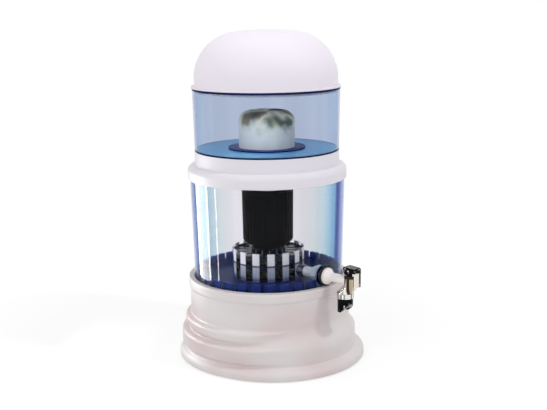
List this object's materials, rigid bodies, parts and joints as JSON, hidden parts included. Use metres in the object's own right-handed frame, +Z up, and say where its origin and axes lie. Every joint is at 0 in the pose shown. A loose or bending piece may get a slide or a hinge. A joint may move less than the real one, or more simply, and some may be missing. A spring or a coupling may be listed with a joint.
{
  "type": "gravity water filter with tap",
  "caption": "Countertop gravity water filter: domed lid, clear upper tank with ceramic filter, media cartridge under a cover, clear lower tank with mineral stones, lever tap, stepped stand.",
  "frame": {"origin": "centre of the foot ring's underside, on the surface that the filter stands on", "axes": "+Z up; -Y is the front, where the tap points; +X is to the right for someone facing the tap"},
  "size_m": [0.3002, 0.3397, 0.5325],
  "materials": {
    "white_plastic": "satin gloss",
    "pearl_plastic": "polished, faintly lilac white",
    "blue_clear": "clear, blue tinted",
    "grey_clear": "clear, smoke tinted",
    "navy_plastic": "gloss",
    "black_rubber": "matte",
    "black_plastic": "gloss",
    "ceramic": "unglazed, stained above",
    "felt": "fibrous",
    "carbon": "granular",
    "zeolite": "granular",
    "sand": "granular",
    "resin": "beads",
    "pebbles": "smooth, mixed greys",
    "chrome": "polished",
    "dark_chrome": "polished, smoked",
    "steel": "drawn wire"
  },
  "bodies": {
    "stand": {"base_stand": "white_plastic", "seat_plate": "white_plastic", "foot_ring": "black_rubber"},
    "lower_tank_unit": {"lower_tank": "blue_clear", "tap_barrel": "white_plastic", "tap_outer_gasket": "black_rubber", "tap_inner_gasket": "black_rubber", "tap_back_nut": "white_plastic", "tap_strainer": "grey_clear", "tap_body": "chrome", "tap_ring_nut": "chrome", "tap_nozzle": "dark_chrome", "tap_bonnet": "chrome", "tap_spring": "steel"},
    "tap_valve": {"tap_stem": "steel", "tap_seat_plug": "black_rubber", "tap_lever_pin": "steel"},
    "tap_handle": {"tap_lever": "dark_chrome"},
    "stone_case": {"mineral_case": "grey_clear", "case_floor": "grey_clear", "mineral_stones": "pebbles"},
    "stone_case_cover": {"mineral_case_lid": "grey_clear"},
    "cover_unit": {"filter_cover": "white_plastic", "cartridge_top": "white_plastic", "cartridge_seal": "black_rubber", "cartridge_lock_nut": "white_plastic", "cartridge_housing": "black_plastic", "cartridge_outlet": "black_plastic", "felt_pads": "felt", "carbon_bed": "carbon", "zeolite_bed": "zeolite", "sand_bed": "sand", "resin_bed": "resin"},
    "upper_tank_unit": {"upper_tank": "blue_clear", "ceramic_plate": "navy_plastic", "ceramic_dome": "ceramic", "ceramic_washer": "black_rubber", "wing_nut": "white_plastic"},
    "top_lid": {"dome_lid": "pearl_plastic"}
  },
  "joints": [
    {"name": "lower_tank_lift", "type": "slide", "parent": "stand", "child": "lower_tank_unit", "axis": [0, 0, 1], "range_m": [0, 0.06]},
    {"name": "cover_lift", "type": "slide", "parent": "lower_tank_unit", "child": "cover_unit", "axis": [0, 0, 1], "range_m": [0, 0.16]},
    {"name": "upper_tank_lift", "type": "slide", "parent": "cover_unit", "child": "upper_tank_unit", "axis": [0, 0, 1], "range_m": [0, 0.12]},
    {"name": "lid_lift", "type": "slide", "parent": "upper_tank_unit", "child": "top_lid", "axis": [0, 0, 1], "range_m": [0, 0.1]},
    {"name": "stone_case_turn", "type": "hinge", "parent": "lower_tank_unit", "child": "stone_case", "pos_m": [0, 0, 0.1325], "axis": [0, 0, 1], "continuous": true},
    {"name": "stone_case_cover_turn", "type": "hinge", "parent": "stone_case", "child": "stone_case_cover", "pos_m": [0, 0, 0.1585], "axis": [0, 0, 1], "continuous": true},
    {"name": "valve_lift", "type": "slide", "parent": "lower_tank_unit", "child": "tap_valve", "axis": [0, 0, 1], "range_m": [0, 0.0026], "stiffness_N_per_m": 400, "springref_m": -0.004, "deforming": ["tap_spring"]},
    {"name": "lever_swing", "type": "hinge", "parent": "tap_valve", "child": "tap_handle", "pos_m": [0, -0.17604, 0.16855], "axis": [-1, 0, 0], "range_deg": [0, 80]}
  ],
  "couplings": [
    {"joint": "lever_swing", "follows": "valve_lift", "rad_per_m": 537.02}
  ]
}
